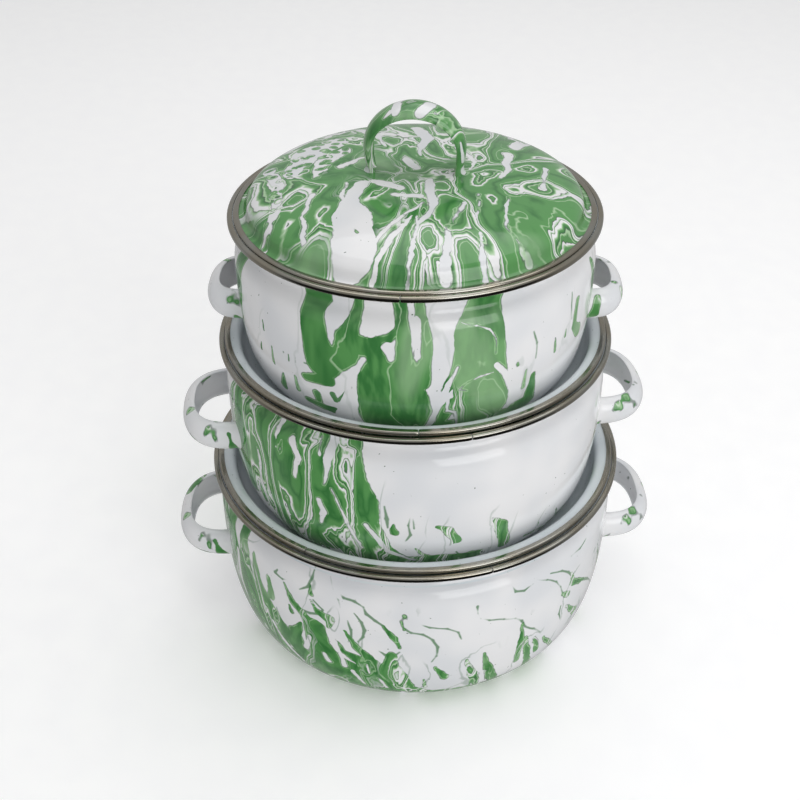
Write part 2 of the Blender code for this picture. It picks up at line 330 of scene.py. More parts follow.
def turned(name, section, split, place, wavy=None):
    """Lathe a section about Z. Faces up to point `split` get the first material, the rest the second."""
    bm = bmesh.new()
    rows = []
    for radius, height in section:
        if radius <= 1e-9:
            rows.append([bm.verts.new(place @ Vector((0.0, 0.0, height)))])
            continue
        row = []
        for step in range(STEPS):
            angle = 2 * math.pi * step / STEPS
            across = hand_made(radius, angle, height, wavy(radius, height)) if wavy else radius
            spot = Vector((across * math.cos(angle), across * math.sin(angle), height))
            row.append(bm.verts.new(place @ spot))
        rows.append(row)
    for index, (low, high) in enumerate(zip(rows, rows[1:])):
        for step in range(STEPS):
            after = (step + 1) % STEPS
            corners = [low[step % len(low)], low[after % len(low)]]
            corners += [high[after % len(high)], high[step % len(high)]]
            face = bm.faces.new(list(dict.fromkeys(corners)))
            face.material_index = 0 if index < split else 1
    return finish_mesh(name, bm)


def ring(name, section, seam, place):
    """Bent strip: the closed section swept round Z, with a butt joint at the angle `seam`."""
    radius = max(point[0] for point in section)
    half_gap = SEAM_GAP / radius
    ease = SEAM_EASE / radius
    bm = bmesh.new()
    rows = []
    inner = [seam + half_gap + ease * part for part in (0, 0.25, 0.6, 1.0)]
    count = 2 * STEPS
    span = 2 * math.pi - 2 * (half_gap + ease)
    angles = inner + [inner[-1] + span * step / count for step in range(1, count)]
    angles += [seam + 2 * math.pi - half_gap - ease * part for part in (1.0, 0.6, 0.25, 0)]
    centre = (radius - 0.0018, sum(p[1] for p in section) / len(section))
    for angle in angles:
        turn = (angle - seam) % (2 * math.pi)
        near = min(turn, 2 * math.pi - turn) - half_gap
        shrink = 1 - SEAM_TUCK * math.exp(-max(near, 0.0) / (0.35 * ease))
        row = []
        for r, z in section:
            r = centre[0] + (r - centre[0]) * shrink
            z = centre[1] + (z - centre[1]) * shrink
            row.append(bm.verts.new(place @ Vector((r * math.cos(angle), r * math.sin(angle), z))))
        rows.append(row)
    size = len(section)
    for first, second in zip(rows, rows[1:]):
        for index in range(size):
            after = (index + 1) % size
            bm.faces.new((first[index], first[after], second[after], second[index]))
    bm.faces.new(rows[0][::-1])
    bm.faces.new(rows[-1])
    return finish_mesh(name, bm)


def channel_outline(wide, depth, thick):
    """Closed C section as (inwards, sideways) points: outer face, rounded lip, inner face, rounded lip."""
    count = 18
    middle = []
    for step in range(count + 1):
        angle = math.pi * (step / count - 0.5)
        middle.append(Vector((depth * (1 - math.cos(angle)), (wide / 2 - thick / 2) * math.sin(angle))))
    normals = []
    for index in range(count + 1):
        along = middle[min(index + 1, count)] - middle[max(index - 1, 0)]
        normals.append(Vector((-along.y, along.x)).normalized())

    def lip(end, normal, tangent, parts):
        turns = [part * math.pi for part in parts]
        return [end + (normal * math.cos(turn) + tangent * math.sin(turn)) * thick / 2 for turn in turns]

    outer = [m + n * thick / 2 for m, n in zip(middle, normals)]
    inner = [m - n * thick / 2 for m, n in zip(middle, normals)]
    first = normals[0]
    last = normals[-1]
    far_lip = lip(middle[-1], last, Vector((last.y, -last.x)), (0.25, 0.5, 0.75))
    near_lip = lip(middle[0], first, Vector((-first.y, first.x)), (0.75, 0.5, 0.25))
    return outer + far_lip + inner[::-1] + near_lip


def strap(name, track, contact, wide, depth, thick, place):
    """Handle: a C section along a track of (out, across, scale), its two ends spread onto a surface.

    contact(across, sideways) gives how far out the surface lies; place maps (out, across, sideways).
    """
    points = [Vector((out, across)) for out, across, _ in track]
    scales = [scale for _, _, scale in track]
    last = len(track) - 1
    outwards = []
    for index, point in enumerate(points):
        along = points[min(index + 1, last)] - points[max(index - 1, 0)]
        outward = Vector((along.y, -along.x)).normalized()
        if outward.dot(point - (points[0] + points[-1]) / 2) < 0:
            outward = -outward
        outwards.append(outward)
    bm = bmesh.new()
    loops = []

    def add_loop(index, thickness, leg=None):
        """Add a section of the strap; leg, from 0 at the surface, draws it down towards the surface."""
        scale = scales[index]
        loop = []
        for inwards, sideways in channel_outline(wide * scale, depth * scale, thickness):
            spot = points[index] - outwards[index] * inwards
            out = spot.x
            if leg is not None:
                surface = contact(spot.y, sideways) - FOOT_SINK
                out = surface + (spot.x - surface) * leg
            loop.append(bm.verts.new(place @ Vector((out, spot.y, sideways))))
        loops.append(loop)

    legs = (0.0, 0.05, 0.12, 0.22, 0.36, 0.55, 0.78)
    reach = max(points[0].x - contact(points[0].y, 0.0), 0.001)
    spread = [thick + FOOT_SPREAD * math.exp(-leg * reach / FOOT_FADE) for leg in legs]
    for leg, thickness in zip(legs, spread):
        add_loop(0, thickness, leg)
    for index in range(last + 1):
        add_loop(index, thick)
    for leg, thickness in zip(legs[::-1], spread[::-1]):
        add_loop(last, thickness, leg)
    size = len(loops[0])
    for before, after in zip(loops, loops[1:]):
        for index in range(size):
            following = (index + 1) % size
            bm.faces.new((before[index], before[following], after[following], after[index]))
    bm.faces.new(loops[0][::-1])
    bm.faces.new(loops[-1])
    return finish_mesh(name, bm, sharp=50.0)


# ---- node graphs

class Graph:
    """Short names for the shader nodes that the materials are made of."""

    def __init__(self, name):
        self.material = bpy.data.materials.new(name)
        self.material.use_nodes = True
        self.tree = self.material.node_tree
        self.shader = self.tree.nodes["Principled BSDF"]

    def node(self, kind, **settings):
        made = self.tree.nodes.new("ShaderNode" + kind)
        for key, value in settings.items():
            setattr(made, key, value)
        return made

    def feed(self, socket, value):
        if isinstance(value, bpy.types.NodeSocket):
            self.tree.links.new(value, socket)
        elif value is not None:
            socket.default_value = value

    def math(self, operation, first, second=None, third=None):
        made = self.node("Math", operation=operation)
        for socket, value in zip(made.inputs, (first, second, third)):
            self.feed(socket, value)
        return made.outputs[0]

    def times(self, first, second):
        return self.math("MULTIPLY", first, second)

    def vector(self, operation, first, second=None, scale=None):
        made = self.node("VectorMath", operation=operation)
        self.feed(made.inputs[0], first)
        self.feed(made.inputs[1], second)
        if scale is not None:
            self.feed(made.inputs["Scale"], scale)
        number = operation in ("LENGTH", "DISTANCE", "DOT_PRODUCT")
        return made.outputs["Value" if number else "Vector"]

    def join(self, x, y, z=0.0):
        made = self.node("CombineXYZ")
        for socket, value in zip(made.inputs, (x, y, z)):
            self.feed(socket, value)
        return made.outputs[0]

    def split(self, vector):
        made = self.node("SeparateXYZ")
        self.feed(made.inputs[0], vector)
        return made.outputs

    def noise(self, vector, scale, detail=2.0, roughness=0.5, distortion=0.0):
        made = self.node("TexNoise")
        self.feed(made.inputs["Vector"], vector)
        made.inputs["Scale"].default_value = scale
        made.inputs["Detail"].default_value = detail
        made.inputs["Roughness"].default_value = roughness
        made.inputs["Distortion"].default_value = distortion
        return made.outputs

    def band(self, value, low, high):
        """0 below low, 1 above high, smooth between; low above high turns it round."""
        made = self.node("MapRange", interpolation_type="SMOOTHSTEP")
        self.feed(made.inputs["Value"], value)
        ends = (high, low, 1, 0) if low > high else (low, high, 0, 1)
        for name, end in zip(("From Min", "From Max", "To Min", "To Max"), ends):
            made.inputs[name].default_value = end
        return made.outputs[0]

    def mix(self, factor, first, second):
        made = self.node("Mix", data_type="RGBA")
        self.feed(made.inputs["Factor"], factor)
        self.feed(made.inputs[6], first)
        self.feed(made.inputs[7], second)
        return made.outputs[2]

    def ramp(self, value, stops):
        """Colours met as a value goes from 0 to 1, as (position, colour) stops."""
        made = self.node("ValToRGB")
        self.feed(made.inputs[0], value)
        elements = made.color_ramp.elements
        while len(elements) < len(stops):
            elements.new(0.5)
        for element, (position, colour) in zip(elements, stops):
            element.position = position
            element.color = colour
        return made.outputs[0]

    def shade(self, **sockets):
        for key, value in sockets.items():
            self.feed(self.shader.inputs[key.replace("_", " ").title().replace("Ior", "IOR")], value)

    def bump(self, height, distance, strength=1.0):
        made = self.node("Bump")
        made.inputs["Strength"].default_value = strength
        made.inputs["Distance"].default_value = distance
        self.feed(made.inputs["Height"], height)
        self.feed(self.shader.inputs["Normal"], made.outputs[0])


def rgb(red, green, blue):
    """A screen colour as the linear one that a shader takes."""
    linear = [((c / 255 + 0.055) / 1.055) ** 2.4 if c > 10 else c / 255 / 12.92 for c in (red, green, blue)]
    return (*linear, 1.0)


WHITE = rgb(233, 233, 234)
WHITE_SHADE = rgb(220, 222, 225)
GREEN = rgb(88, 148, 84)
GREEN_DEEP = rgb(58, 118, 62)
GREEN_PALE = rgb(168, 202, 160)
OUTLINE = rgb(72, 96, 78)
VEIN = rgb(132, 152, 138)
INSIDE = rgb(222, 229, 232)
INSIDE_SHADE = rgb(210, 218, 222)
STEEL = rgb(164, 163, 155)
STEEL_WARM = rgb(158, 152, 138)
STEEL_DARK = rgb(98, 94, 87)
FLOOR = rgb(248, 248, 248)
FLOOR_SHADE = rgb(245, 245, 246)

# One cycle of the marbling: a broad green, then two clusters of thin white and dark lines.
MARBLE = [
    (0.00, GREEN), (0.12, GREEN_DEEP), (0.24, GREEN), (0.35, GREEN), (0.39, GREEN_PALE), (0.41, WHITE),
    (0.435, WHITE), (0.445, OUTLINE), (0.46, GREEN), (0.50, GREEN), (0.52, GREEN_PALE), (0.535, GREEN_PALE),
    (0.545, OUTLINE), (0.56, GREEN_DEEP), (0.60, GREEN), (0.63, GREEN_PALE), (0.65, WHITE), (0.71, WHITE),
    (0.72, OUTLINE), (0.735, GREEN_PALE), (0.76, WHITE_SHADE), (0.79, WHITE), (0.80, OUTLINE), (0.82, GREEN),
    (0.87, GREEN), (0.89, GREEN_PALE), (0.91, GREEN), (1.00, GREEN),
]


# ---- enamel

def blot(g, spot, field, start, end, thin, thick, cut):
    """Add a round-ended run between two points to the field, or cut it out."""
    start = Vector(start)
    run = Vector(end) - start
    offset = g.vector("SUBTRACT", spot, start)
    along = g.vector("DOT_PRODUCT", offset, run / max(run.length_squared, 1e-6))
    part = g.math("MAXIMUM", g.math("MINIMUM", along, 1), 0)
    away = g.vector("DISTANCE", offset, g.vector("SCALE", run, scale=part))
    radius = g.math("MULTIPLY_ADD", part, thick - thin, thin)
    if cut:
        return g.math("SMOOTH_MIN", field, g.math("SUBTRACT", away, radius), CUT_BLEND)
    return g.math("SMOOTH_MAX", field, g.math("SUBTRACT", radius, away), RUN_BLEND)


def stroke(g, spot, shape, field, cut=False):
    """Add a poured streak to the field, or cut one out of it.

    The field is millimetres inside the green. A streak is a row of (across, up, radius) points.
    """
    for (x0, y0, thin), (x1, y1, thick) in zip(shape, shape[1:]):
        field = blot(g, spot, field, (x0, y0, 0), (x1, y1, 0), thin, thick, cut)
    return field


def warped(g, place, flat, coarse, fine):
    """Push flat coordinates about by noise read in space, so that no seam shows."""
    slow = g.noise(place, 0.045, 1)[1]
    quick = g.noise(place, 0.19, 2)[1]
    centre = (-0.5, -0.5, -0.5)
    flat = g.vector("ADD", flat, g.vector("SCALE", g.vector("ADD", slow, centre), scale=coarse))
    return g.vector("ADD", flat, g.vector("SCALE", g.vector("ADD", quick, centre), scale=fine))


def glaze(g, place, grain, green, busy, cycles=4, lines=None, lean=None, threads=0):
    """Colour, gloss and surface of the fired enamel; place is in millimetres.

    grain is place stretched the way the enamel ran. green is how far inside the green a point lies.
    busy is how much of the green is marbled: little at 0, all of it at 1. cycles sets how many bands
    there are, and they lie across the way that lean grows. lines is a field of hairlines, and threads
    is how much of the marbling shows faintly on the white.
    """
    curl = g.vector("ADD", g.noise(grain, 0.022, 1)[1], (-0.5, -0.5, -0.5))
    swirl = g.vector("ADD", grain, g.vector("SCALE", curl, scale=52))
    drift = g.noise(swirl, 0.030, 1.5, 0.4)[0]
    patchy = g.noise(place, 0.030, 1)[0]
    streaky = g.noise(swirl, 0.13, 2)[0]
    layers = g.math("MULTIPLY_ADD", drift, cycles, g.times(green, 0.030))
    if lean is not None:
        layers = g.math("ADD", layers, lean)
    layers = g.math("FRACT", g.math("ADD", layers, g.times(streaky, 0.30)))
    often = g.band(g.math("ADD", patchy, g.times(busy, 0.42)), 0.50, 0.72)

    plain = g.mix(g.band(streaky, 0.34, 0.66), GREEN_DEEP, GREEN)
    plain = g.mix(g.times(g.band(drift, 0.50, 0.66), 0.45), plain, GREEN_PALE)
    thread = g.times(g.band(layers, 0.46, 0.50), g.band(layers, 0.53, 0.51))
    plain = g.mix(g.times(thread, 0.75), plain, GREEN_PALE)
    colour = g.mix(often, plain, g.ramp(layers, MARBLE))
    rim = g.times(g.band(green, 0.20, 0.40), g.band(green, 0.95, 0.65))
    broken = g.times(g.band(streaky, 0.40, 0.60), 0.7)
    colour = g.mix(g.times(rim, broken), colour, GREEN_PALE)

    ground = g.mix(g.band(patchy, 0.3, 0.7), WHITE, WHITE_SHADE)
    edge = g.times(g.band(green, -0.50, -0.15), g.band(streaky, 0.40, 0.56))
    ground = g.mix(g.times(edge, 0.7), ground, OUTLINE)
    if threads > 0:
        vein = g.times(g.band(layers, 0.42, 0.47), g.band(layers, 0.55, 0.48))
        vein = g.times(vein, g.band(green, -10, -2))
        ground = g.mix(g.times(vein, threads), ground, VEIN)
    if lines is not None:
        ground = g.mix(g.times(g.band(lines, -0.70, 0.05), 0.80), ground, GREEN_DEEP)
    ground = g.mix(g.band(g.noise(place, 0.8, 0)[0], 0.86, 0.88), ground, OUTLINE)
    colour = g.mix(g.band(green, -0.14, 0.16), ground, colour)

    sheen = g.noise(place, 0.12, 2)[0]
    g.shade(base_color=colour, roughness=g.math("MULTIPLY_ADD", sheen, 0.08, 0.06))
    g.shade(ior=1.5, coat_weight=0.15, coat_roughness=0.05)
    g.bump(g.noise(place, 0.22, 2)[0], 0.00010, 0.45)


def object_place(g, origin):
    """Object coordinates in millimetres from an origin given in metres."""
    coordinates = g.node("TexCoord").outputs["Object"]
    return g.vector("SCALE", g.vector("SUBTRACT", coordinates, tuple(origin)), scale=1000)


def round_wall(g, pot):
    """Flat coordinates of a pot's outside: along the wall from its front, and up from its base.

    The back repeats the front, and the warp makes the two differ.
    """
    place = object_place(g, (0, 0, pot.base))
    x, y, z = g.split(place)
    angle = g.math("ARCTAN2", x, g.math("ABSOLUTE", y))
    across = g.times(angle, pot.radius * BELLY / MM)
    inward = g.math("SUBTRACT", pot.radius * BASE / MM, g.vector("LENGTH", g.join(x, y)))
    flat = g.join(across, g.math("SUBTRACT", z, g.math("MAXIMUM", inward, 0)))
    return place, flat


def poured(g, spot, streaks, degree):
    """Field of streaks and cuts in painting order; degree is millimetres along the wall to the degree."""
    field = FAR
    for shape in streaks:
        cut = shape[0] == 0
        points = [(across * degree, up, radius) for across, up, radius in (shape[1:] if cut else shape)]
        field = stroke(g, spot, points, field, cut)
    return field


# Streaks down each pot's wall: degrees from the front, millimetres above the base, and radius.
SMALL_GREEN = [
    [(-30.5, 92, 8), (-30, 62, 8), (-28, 46, 10), (-20, 54, 7)],
    [(-15.5, 92, 1.8), (-17, 74, 3.4), (-20, 61, 6.5), (-13, 60, 5.5), (-8, 66, 2.2), (-5, 70, 2)],
    [(-4, 92, 3), (-3.5, 66, 3.5), (-4, 50, 6)],
    [(1.2, 92, 2), (2.6, 66, 3.6), (1, 42, 6)],
    [(-12.5, 58, 5), (-10.5, 46, 10), (-9, 20, 15), (-3, 20, 14), (-3, 44, 8.5)],
    [(-8, 6, 9), (28, 6, 9)],
    [(22.5, 92, 9), (21, 78, 9.5), (18.8, 67, 13), (19, 52, 14), (20.5, 24, 15.5)],
    [(9, 36, 2.5), (14, 52, 5)],
    [(5, 8, 4), (11, 26, 4)],
    [(-34.5, 33, 2.6), (-27, 36, 4)],
    [(-31.5, 24, 2.6), (-31, 19, 2.4)],
    [(-26, 27, 1.8), (-25, 23, 1.6)],
    [(-19.5, 35, 1.2), (-23, 24, 2.2)],
    [(-36, 16, 2), (-26, 15, 2.6)],
    [(-45, 28, 0.6), (-46.5, 18, 2.8)],
    [(-39, 30, 0.8), (-39, 21, 1.6)],
    [(-49, 41, 0.6), (-49, 31, 0.9)],
    [(-55.5, 38, 0.5), (-56, 33, 1)],
    [(-41, 42, 0.6), (-41, 38, 0.6)],
    [(-38, 43, 0.4), (-38, 39, 0.5)],
    [(-43.3, 42, 0.6), (-43.3, 41.6, 0.6)],
    [(-53, 54, 0.5), (-52.5, 48, 0.7)],
    [(31.7, 43, 0.9), (31.9, 42, 0.9)],
    [(38.5, 32, 1.5), (39, 14, 5), (33, 12, 5)],
    [(35.2, 37, 0.5), (35, 26, 1.5)],
    [(47.5, 47, 0.7), (48, 40, 1.3)],
    [(53, 48, 0.4), (53, 44, 0.9)],
    [(59, 62, 1.5), (58, 46, 2.6), (62, 40, 4)],
    [(72, 70, 3), (76, 44, 6), (74, 20, 4)],
    [(-70, 88, 4), (-72, 60, 7), (-75, 30, 5)],
    [0, (-24.5, 74, 4.2), (-24.5, 62, 2), (-24.5, 58, 0.4)],
    [0, (-8, 61, 3.2), (-7, 55, 2)],
    [0, (13.5, 74, 0.1), (18, 71, 0.4), (21.4, 67, 0.5), (23.4, 61, 0.4), (23.8, 53, 0.2)],
    [0, (24, 41.5, 0.3), (20, 40.6, 0.5), (16, 38.6, 0.4), (13.4, 35, 0.4), (15.4, 33.4, 0.2)],
    [0, (0.6, 74, 2.2), (0.4, 56, 1.6), (0.4, 52, 0.3)],
    [0, (-15, 53, 1.6), (-20, 34, 1.4), (-25, 12, 2)],
    [0, (12.2, 49, 1), (8.5, 34, 1.8), (4, 10, 2)],
    [0, (9.6, 32, 1), (9.6, 22, 0.9), (12.5, 20, 0.9), (13.2, 12, 0.9)],
    [0, (24.8, 46, 1.5), (28.5, 37, 2), (31.5, 24, 2.2), (32.2, 16, 0.8)],
    [0, (-17.5, 40, 0.6), (-17.5, 14, 0.8)],
]
SMALL_LINES = [
    [(37.3, 58, 0.1), (38.6, 50, 0.35), (38.4, 42, 0.1)],
    [(-34.5, 41, 0.1), (-31, 42, 0.5), (-28, 40, 0.3)],
    [(55, 68, 0.1), (56, 52, 0.4)],
]

MEDIUM_GREEN = [
    [(-62, 92, 17), (-63, 40, 19)],
    [(-45, 96, 26), (-44, 60, 27), (-40, 18, 24)],
    [(-28, 96, 7), (-28, 60, 9), (-27, 24, 12)],
    [(-20, 96, 9), (-19.5, 72, 12), (-19, 56, 17), (-19, 40, 17), (-14, 16, 16)],
    [(-6.5, 42, 0.6), (-6, 37, 2.4)],
    [(-10, 24, 6), (-4, 12, 6), (8, 12, 6), (20, 14, 3.2)],
    [(0.5, 24, 0.6), (4, 18, 1.6)],
    [(6.5, 41, 1.2), (9.6, 37, 3), (11.6, 30, 3), (9.2, 25, 0.6)],
    [(22.5, 39, 0.8), (25.4, 32, 3.8), (28, 16, 3.6)],
    [(40.5, 23, 0.4), (41.5, 18, 0.8)],
    [(36, 13, 1.4), (60, 9, 2.4)],
    [(49, 21, 0.4), (51, 14, 1), (57, 13, 1.8)],
    [(72, 60, 3), (74, 20, 6)],
    [0, (-36.5, 82, 2.4), (-34, 72, 2.2), (-35.5, 60, 1.2)],
    [0, (-23.5, 90, 3.4), (-24.5, 76, 2), (-26, 62, 0.8)],
    [0, (-28.5, 92, 1.6), (-27, 80, 1)],
    [0, (-23, 60, 1), (-19.5, 40, 1.4), (-16, 22, 1)],
    [0, (-27.5, 50, 1.6), (-26.5, 42, 2.2), (-28.5, 34, 1)],
    [0, (-13.5, 40, 1.4), (-8, 22, 1.8), (0, 14, 1.2)],
    [0, (-42, 88, 2), (-43, 74, 0.8)],
    [0, (-52, 60, 1.2), (-52, 40, 1.4), (-49, 26, 0.6)],
]
MEDIUM_LINES = [
    [(-1, 50, 0.1), (-1.8, 42, 0.3), (-1.2, 35, 0.5), (-3, 30, 0.2)],
    [(-0.4, 50, 0.1), (0, 40, 0.3)],
    [(-8.5, 54, 0.2), (-8.2, 46, 0.7), (-7.8, 40, 0.2)],
    [(12, 20, 0.2), (15, 12, 0.6), (18, 9, 0.4)],
]

LARGE_GREEN = [
    [(-72, 94, 18), (-67, 62, 20), (-60, 28, 18)],
    [(-49, 66, 2.4), (-44, 50, 5), (-39, 36, 6), (-33, 22, 8)],
    [(-38, 80, 0.8), (-36, 70, 2.4), (-30, 60, 3.6)],
    [(-19, 62, 0.8), (-16, 50, 2.4), (-11, 38, 3.8), (-5, 24, 4.4)],
    [(-44, 14, 9), (-12, 12, 9)],
    [(-6, 18, 5), (3, 9, 5)],
    [(-57, 96, 4), (-55.5, 82, 6), (-56, 60, 9), (-50, 42, 10), (-44, 24, 10)],
    [(-50, 86, 1.6), (-49, 62, 4.6), (-46, 46, 4)],
    [(-44.6, 76, 1.6), (-44, 62, 3.2)],
    [(-28.5, 88, 0.8), (-28.5, 82, 1.8)],
    [(-29, 77, 0.6), (-27.5, 71, 2), (-23.5, 68, 3.6), (-24, 63, 2)],
    [(-28.4, 57, 7.5), (-28, 44, 9), (-25, 26, 15), (-14, 18, 12)],
    [(-37, 65, 1.4), (-36, 60, 1.6)],
    [(-33, 54, 1.4), (-36, 44, 4), (-35, 30, 6)],
    [(-22, 52, 0.8), (-20, 44, 1.8), (-14, 36, 5), (-10, 18, 7)],
    [(-14, 42, 2), (-10, 34, 1.4)],
    [(-8.5, 72, 0.8), (-5.6, 62, 2.2), (-4.4, 55, 1)],
    [(-6.8, 48, 3), (-7, 38, 4.4), (-3.6, 18, 7)],
    [(-1.6, 76.5, 0.4), (-2.6, 79.4, 1.2), (-3.6, 75.5, 0.9), (-2.6, 70.5, 1)],
    [(5.5, 37, 1.2), (8.4, 27, 2.8)],
    [(2.2, 25, 0.8), (3, 18, 1.4)],
    [(14.6, 40, 1), (16.5, 26, 2.8), (18, 12, 3.2)],
    [(20, 42, 0.8), (21, 28, 2.8), (23.5, 12, 3.8)],
    [(31, 57, 1.2), (31.4, 42, 2.4), (30.8, 24, 2.2)],
    [(33, 44, 0.8), (34.5, 28, 2.6), (36, 12, 3)],
    [(36, 38, 0.8), (38.5, 24, 2.4)],
    [(40, 32, 1), (46, 16, 2.4)],
    [(49, 74, 0.6), (50, 64, 2.8), (57, 56, 1.4)],
    [(45.5, 61, 1), (48.6, 57, 2.2)],
    [(48.5, 48, 1), (55, 32, 3)],
    [(64, 12, 1.6), (70, 4, 2.6)],
    [(66, 70, 1), (72, 40, 3)],
    [(-60, 12, 12), (-10, 8, 12)],
    [(0, 5, 6.5), (45, 4, 6)],
    [0, (-26, 36, 1.6), (-25, 30, 2.2)],
    [0, (-21, 40, 1.4), (-20, 30, 1.8)],
    [0, (-13.4, 36, 1), (-12.5, 28, 0.8)],
    [0, (-61, 74, 1.6), (-62, 50, 2.4), (-58, 34, 1.2)],
    [0, (-45.5, 40, 1), (-42, 26, 2.2), (-36, 14, 1.2)],
    [0, (-31, 46, 1.6), (-33, 34, 1.8)],
    [0, (-18, 26, 1.6), (-15, 14, 1.2)],
    [0, (-10, 24, 0.8), (-8.6, 14, 1.2)],
]
LARGE_LINES = [
    [(-20.5, 91, 0.1), (-19, 88, 0.4), (-16, 86.5, 0.4), (-13.4, 84, 0.3), (-12.6, 79, 0.7), (-10.5, 75, 0.6),
     (-8.5, 72, 0.5)],
    [(-16, 78, 0.1), (-14, 72, 0.5), (-13.2, 66, 0.7), (-13.6, 60, 0.6), (-15.2, 55, 0.3), (-15.2, 50, 0.3),
     (-14.4, 46, 0.5)],
    [(-10, 50, 0.2), (-8.4, 47.5, 0.5), (-6, 47.5, 0.5), (-4.5, 51, 0.3)],
    [(-2.4, 71, 0.6), (-0.6, 67.5, 0.5), (2.4, 65.5, 0.4), (4.8, 61, 0.5), (6, 55, 0.5), (5.6, 48, 0.4),
     (4.4, 43, 0.2)],
    [(1.5, 74, 0.1), (4.4, 70.5, 0.3), (8.4, 69, 0.3), (11.4, 65.5, 0.3), (12.5, 60, 0.2)],
    [(16.8, 83, 0.7), (16.9, 78, 0.4), (17.8, 73, 0.3), (20.4, 69.5, 0.3), (24.6, 67.5, 0.4),
     (28.4, 64.5, 0.4), (30.6, 60, 0.5), (32.4, 54, 0.5), (35.4, 48, 0.5), (38, 40, 0.4)],
    [(26.5, 89, 0.1), (27.6, 85, 0.4), (30.4, 82.6, 0.4), (33, 84.4, 0.3), (36, 83, 0.2)],
    [(34, 86.5, 0.1), (38.6, 82, 0.3), (42.4, 76, 0.3), (44.6, 69, 0.3), (45.8, 60, 0.4)],
    [(40, 85.5, 0.2), (44.4, 82, 0.4), (47.6, 77, 0.5), (49.4, 71, 0.6)],
    [(57, 56, 0.8), (61, 49, 0.6), (66, 38, 0.4), (72, 24, 0.6), (78, 12, 0.9)],
    [(46, 52, 0.3), (45.4, 46, 0.5), (46.6, 39, 0.3)],
    [(46, 91.5, 0.1), (48.6, 88, 0.3), (52.4, 87.4, 0.3), (56, 89, 0.1)],
    [(-28.5, 97, 0.2), (-28, 92, 0.5), (-29.4, 86, 0.4), (-32.4, 81, 0.2)],
    [(-40.5, 87, 0.3), (-41.6, 84, 0.6), (-38.6, 82.6, 0.4), (-34.6, 85, 0.3), (-33, 91, 0.2)],
    [(-33.4, 67, 0.5), (-30, 67, 0.5), (-26.4, 70, 0.5), (-25.4, 74, 0.4), (-28, 78, 0.4)],
    [(-17.8, 71, 0.3), (-17, 64, 0.5), (-17.2, 58, 0.4), (-18.2, 53, 0.2)],
    [(-23.4, 95, 0.1), (-22, 91, 0.4), (-20.6, 86, 0.4), (-20.2, 80, 0.2)],
]

STREAKS = {"small": SMALL_GREEN, "medium": MEDIUM_GREEN, "large": LARGE_GREEN}
HAIRLINES = {"small": SMALL_LINES, "medium": MEDIUM_LINES, "large": LARGE_LINES}


def pot_enamel(pot, coarse, fine, busy, flow, cycles, lean, threads):
    g = Graph(pot.size + "_pot_marbled_enamel")
    degree = math.radians(1) * pot.radius * BELLY / MM
    place, flat = round_wall(g, pot)
    spot = warped(g, place, flat, coarse, fine)
    field = poured(g, spot, STREAKS[pot.size], degree)
    lines = poured(g, warped(g, place, flat, coarse, HAIR_WARP), HAIRLINES[pot.size], degree)
    slope = g.vector("DOT_PRODUCT", spot, (lean, 0, 0))
    glaze(g, place, g.vector("MULTIPLY", place, flow), field, busy, cycles, lines, slope, threads)
    return g.material


# White patches left in the small lid's green, from above: right, away, radius, in millimetres.
LID_WHITE = [
    [(-27, -15, 3.5), (-30, -30, 4), (-31, -48, 9.5), (-29, -76, 11)],
    [(-34, -14, 0.8), (-36, -30, 1.4), (-30, -40, 1.4)],
    [(-28, 18, 1.2), (-40, 5, 2.4)],
    [(-21, -14, 2.2), (-8, -20, 2.8)],
    [(-10, -27, 2), (3, -31, 2.6)],
    [(7, -12, 2.4), (10, -34, 2.8), (7, -50, 1.6), (0, -62, 0.8)],
    [(-4, 14, 2.8), (1, 4, 2.4)],
    [(0, 62, 3.6), (7, 45, 3.6), (3, 20, 0.8)],
    [(-30, 62, 3), (-20, 50, 2), (-16, 34, 1)],
    [(55, 62, 5), (60, 50, 3.6), (54, 36, 3.4)],
    [(50, 24, 2.8), (50, 4, 2.2), (44, -8, 1)],
    [(70, 10, 1.6), (66, -14, 1.8)],
    [(25, -36, 1), (18, -60, 1.8), (15, -86, 2.4)],
    [(33, -28, 0.8), (30, -52, 0.8), (32, -84, 1.6)],
    [(46, -30, 0.8), (44, -56, 1), (52, -70, 1.2)],
    [(4, -38, 0.6), (-9, -56, 1.6), (-22, -74, 1.8), (-34, -92, 1.4)],
    [(-1, -52, 0.6), (-11, -68, 1.8), (-22, -93, 1.6)],
    [(2, -52, 0.8), (1, -72, 1.6), (-4, -94, 1.2)],
    [(-52, -26, 2), (-56, -44, 1.2), (-52, -66, 1.8)],
    [(24, 30, 2.2), (30, 12, 1.4), (26, -4, 0.8)],
    [(-58, 58, 4), (-70, 40, 3)],
]
# White with a lace of green drops.
LID_LACE = [
    [(-78, 14, 3), (-70, -10, 3.6), (-71, -34, 3), (-74, -54, 2.4)],
    [(-64, 4, 6), (-57, 28, 8.5), (-44, 42, 7)],
    [(-50, -6, 2), (-48, 14, 5), (-38, 28, 4)],
    [(-52, 56, 5), (-38, 64, 3)],
]
# Drops in the white, and where the marbling is richest.
LID_DROPS = [
    [(-48, -56, 4.6), (-46, -62, 3)],
    [(56, 56, 1.2), (60, 48, 0.9)],
    [(-30, -60, 0.5), (-28, -64, 0.9)],
]
LID_RICH = [
    [(-16, -50, 4), (-2, -76, 12)],
    [(-20, -20, 6), (8, -22, 10)],
    [(14, -10, 6), (30, -40, 10), (26, -76, 6)],
    [(40, -10, 10), (70, -40, 10)],
    [(36, 16, 8), (64, 24, 8)],
    [(-52, -22, 5), (-62, -48, 8)],
    [(0, 50, 10), (40, 66, 10)],
]


